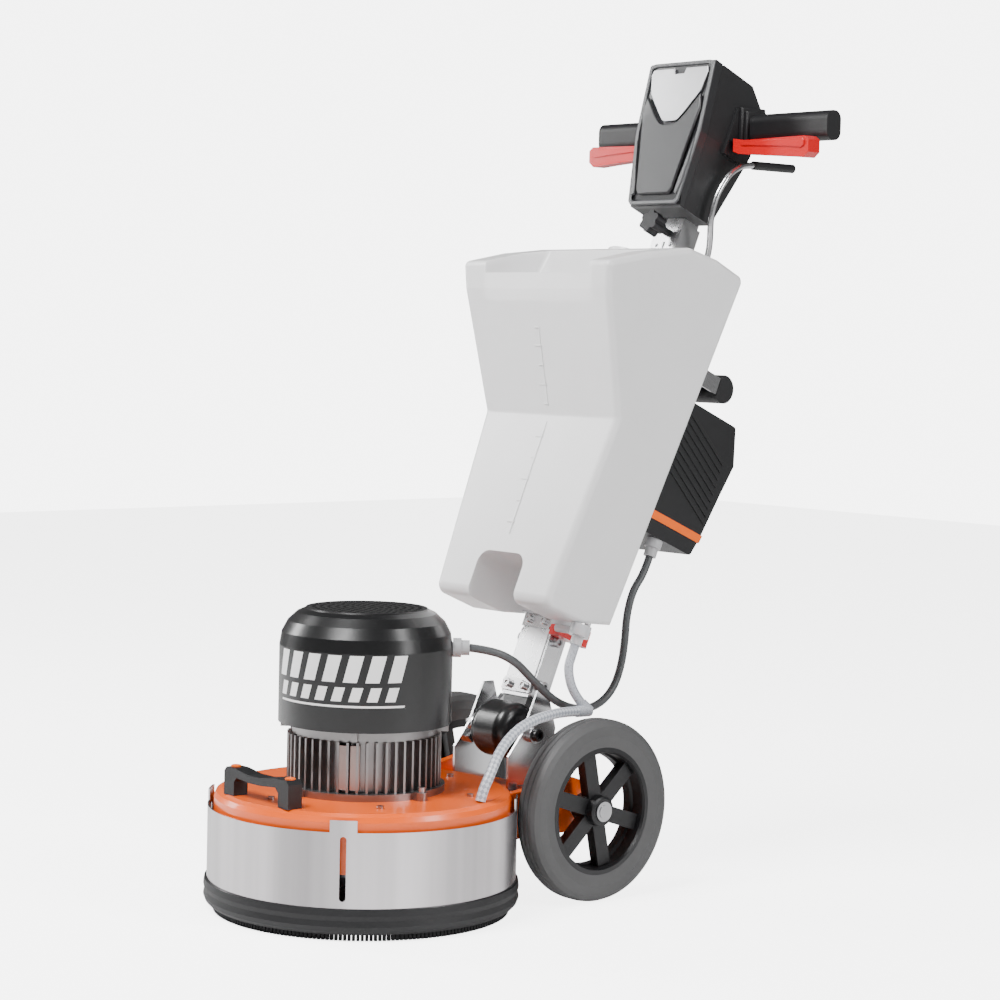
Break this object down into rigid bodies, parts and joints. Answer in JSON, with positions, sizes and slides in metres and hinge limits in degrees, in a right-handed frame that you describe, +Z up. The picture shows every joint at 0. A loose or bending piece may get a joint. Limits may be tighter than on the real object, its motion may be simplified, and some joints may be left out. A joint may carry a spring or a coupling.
{
  "type": "concrete grinder",
  "caption": "Walk-behind planetary floor grinder: skirted head with motor, wheeled chassis, tilting mast with water tank, control box and handlebar console.",
  "frame": {"origin": "bottom centre of the whole machine's box, on the floor", "axes": "+Z up, +X to the operator's left, -Y towards the grinding head, +Y towards the operator"},
  "size_m": [0.508, 1.0156, 1.2738],
  "materials": {
    "orange_paint": "satin powder coat",
    "band_steel": "brushed",
    "black_rubber": "matt",
    "bristle": "matt",
    "cast_aluminium": "cast",
    "gloss_black": "gloss",
    "black_plastic": "textured",
    "grey_plastic": "satin",
    "steel": "machined",
    "bright_steel": "polished",
    "diamond_metal": "sintered",
    "grey_tyre": "matt",
    "mast_aluminium": "anodised",
    "milky_plastic": "translucent",
    "clear_fitting": "translucent",
    "red_plastic": "gloss",
    "orange_plastic": "gloss",
    "console_grey": "satin",
    "green_plastic": "gloss",
    "grey_cable": "satin",
    "hose": "translucent"
  },
  "bodies": {
    "chassis": {"head_cover": "orange_paint", "ring_gear": "steel", "chassis_bolts": "steel", "motor_flange": "cast_aluminium", "stator_housing": "cast_aluminium", "motor_end_shield": "cast_aluminium", "fan_cover": "gloss_black", "motor_gland": "grey_plastic", "lift_handle": "black_plastic", "axle_arms": "orange_paint", "rear_platform": "orange_paint", "axle_bar": "steel", "axle_spacers": "steel", "tilt_brackets": "bright_steel", "pivot_pin": "steel", "motor_cable": "grey_cable", "tank_hose": "hose", "deck_hose": "hose"},
    "skirt": {"skirt_band": "band_steel", "skirt_rubber": "black_rubber", "skirt_brush": "bristle"},
    "rotor": {"motor_rotor": "steel", "cooling_fan": "black_plastic", "sun_gear": "steel"},
    "carrier": {"carrier": "cast_aluminium"},
    "planet_a": {"planet_head_a": "steel", "diamond_shoes_a": "diamond_metal"},
    "planet_b": {"planet_head_b": "steel", "diamond_shoes_b": "diamond_metal"},
    "planet_c": {"planet_head_c": "steel", "diamond_shoes_c": "diamond_metal"},
    "left_wheel": {"left_tyre": "grey_tyre", "left_rim": "black_plastic"},
    "right_wheel": {"right_tyre": "grey_tyre", "right_rim": "black_plastic"},
    "mast": {"mast_tube": "mast_aluminium", "mast_hub": "gloss_black", "mast_fittings": "bright_steel", "water_tank": "milky_plastic", "tank_outlet": "clear_fitting", "water_valve": "red_plastic", "control_box": "black_plastic", "control_box_band": "orange_plastic", "box_connectors": "grey_plastic", "rest_rubber": "black_rubber"},
    "tank_cap": {"tank_cap": "milky_plastic"},
    "stay": {"mast_stay": "bright_steel"},
    "height_knob": {"height_knob": "black_plastic"},
    "water_rod": {"water_rod": "bright_steel", "water_rod_grip": "black_plastic"},
    "console": {"inner_mast": "mast_aluminium", "console_housing": "black_plastic", "console_cover": "console_grey", "handle_grips": "black_plastic", "display_panel": "black_plastic"},
    "left_lever": {"left_lever": "red_plastic"},
    "right_lever": {"right_lever": "red_plastic"},
    "start_button": {"start_button": "green_plastic"},
    "stop_button": {"stop_button": "red_plastic"},
    "speed_dial": {"speed_dial": "black_plastic"}
  },
  "joints": [
    {"name": "skirt_float", "type": "slide", "parent": "chassis", "child": "skirt", "axis": [0, 0, 1], "range_m": [0, 0.025]},
    {"name": "motor_spin", "type": "hinge", "parent": "chassis", "child": "rotor", "pos_m": [0, -0.2782, 0.2], "axis": [0, 0, 1], "continuous": true},
    {"name": "carrier_spin", "type": "hinge", "parent": "chassis", "child": "carrier", "pos_m": [0, -0.2782, 0.067], "axis": [0, 0, 1], "continuous": true},
    {"name": "planet_a_spin", "type": "hinge", "parent": "carrier", "child": "planet_a", "pos_m": [0.108, -0.2782, 0.06], "axis": [0, 0, 1], "continuous": true},
    {"name": "planet_b_spin", "type": "hinge", "parent": "carrier", "child": "planet_b", "pos_m": [-0.054, -0.18467, 0.06], "axis": [0, 0, 1], "continuous": true},
    {"name": "planet_c_spin", "type": "hinge", "parent": "carrier", "child": "planet_c", "pos_m": [-0.054, -0.37173, 0.06], "axis": [0, 0, 1], "continuous": true},
    {"name": "left_wheel_spin", "type": "hinge", "parent": "chassis", "child": "left_wheel", "pos_m": [0.163, 0.0278, 0.136], "axis": [1, 0, 0], "continuous": true},
    {"name": "right_wheel_spin", "type": "hinge", "parent": "chassis", "child": "right_wheel", "pos_m": [-0.163, 0.0278, 0.136], "axis": [1, 0, 0], "continuous": true},
    {"name": "mast_tilt", "type": "hinge", "parent": "chassis", "child": "mast", "pos_m": [0, -0.0082, 0.238], "axis": [1, 0, 0], "range_deg": [-30, 15], "deforming": ["motor_cable", "tank_hose", "deck_hose"]},
    {"name": "stay_swing", "type": "hinge", "parent": "chassis", "child": "stay", "pos_m": [-0.054, -0.0082, 0.238], "axis": [1, 0, 0], "range_deg": [0, 25]},
    {"name": "tank_cap_turn", "type": "hinge", "parent": "mast", "child": "tank_cap", "pos_m": [0, 0.22665, 0.95802], "axis": [0, 0.3875, 0.9219], "range_deg": [0, 270]},
    {"name": "height_knob_turn", "type": "hinge", "parent": "mast", "child": "height_knob", "pos_m": [0, 0.2856, 1.01568], "axis": [0, -0.9219, 0.3875], "range_deg": [-180, 180]},
    {"name": "water_rod_pull", "type": "slide", "parent": "mast", "child": "water_rod", "axis": [0, 0.3875, 0.9219], "range_m": [0, 0.015]},
    {"name": "console_height", "type": "slide", "parent": "mast", "child": "console", "axis": [0, 0.3875, 0.9219], "range_m": [0, 0.12]},
    {"name": "left_lever_squeeze", "type": "hinge", "parent": "console", "child": "left_lever", "pos_m": [0.088, 0.3818, 1.142], "axis": [0, -1, 0], "range_deg": [0, 5], "stiffness_Nm_per_rad": 3},
    {"name": "right_lever_squeeze", "type": "hinge", "parent": "console", "child": "right_lever", "pos_m": [-0.088, 0.3818, 1.142], "axis": [0, 1, 0], "range_deg": [0, 5], "stiffness_Nm_per_rad": 3},
    {"name": "start_press", "type": "slide", "parent": "console", "child": "start_button", "axis": [0, -0.9219, 0.3875], "range_m": [0, 0.003], "stiffness_N_per_m": 400},
    {"name": "stop_press", "type": "slide", "parent": "console", "child": "stop_button", "axis": [0, -0.9219, 0.3875], "range_m": [0, 0.003], "stiffness_N_per_m": 600},
    {"name": "speed_turn", "type": "hinge", "parent": "console", "child": "speed_dial", "pos_m": [0.04, 0.4329, 1.13383], "axis": [0, 0.9219, -0.3875], "range_deg": [-135, 135]}
  ],
  "couplings": [
    {"joint": "carrier_spin", "follows": "motor_spin", "ratio": 0.25},
    {"joint": "planet_a_spin", "follows": "motor_spin", "ratio": -0.75},
    {"joint": "planet_b_spin", "follows": "motor_spin", "ratio": -0.75},
    {"joint": "planet_c_spin", "follows": "motor_spin", "ratio": -0.75}
  ]
}
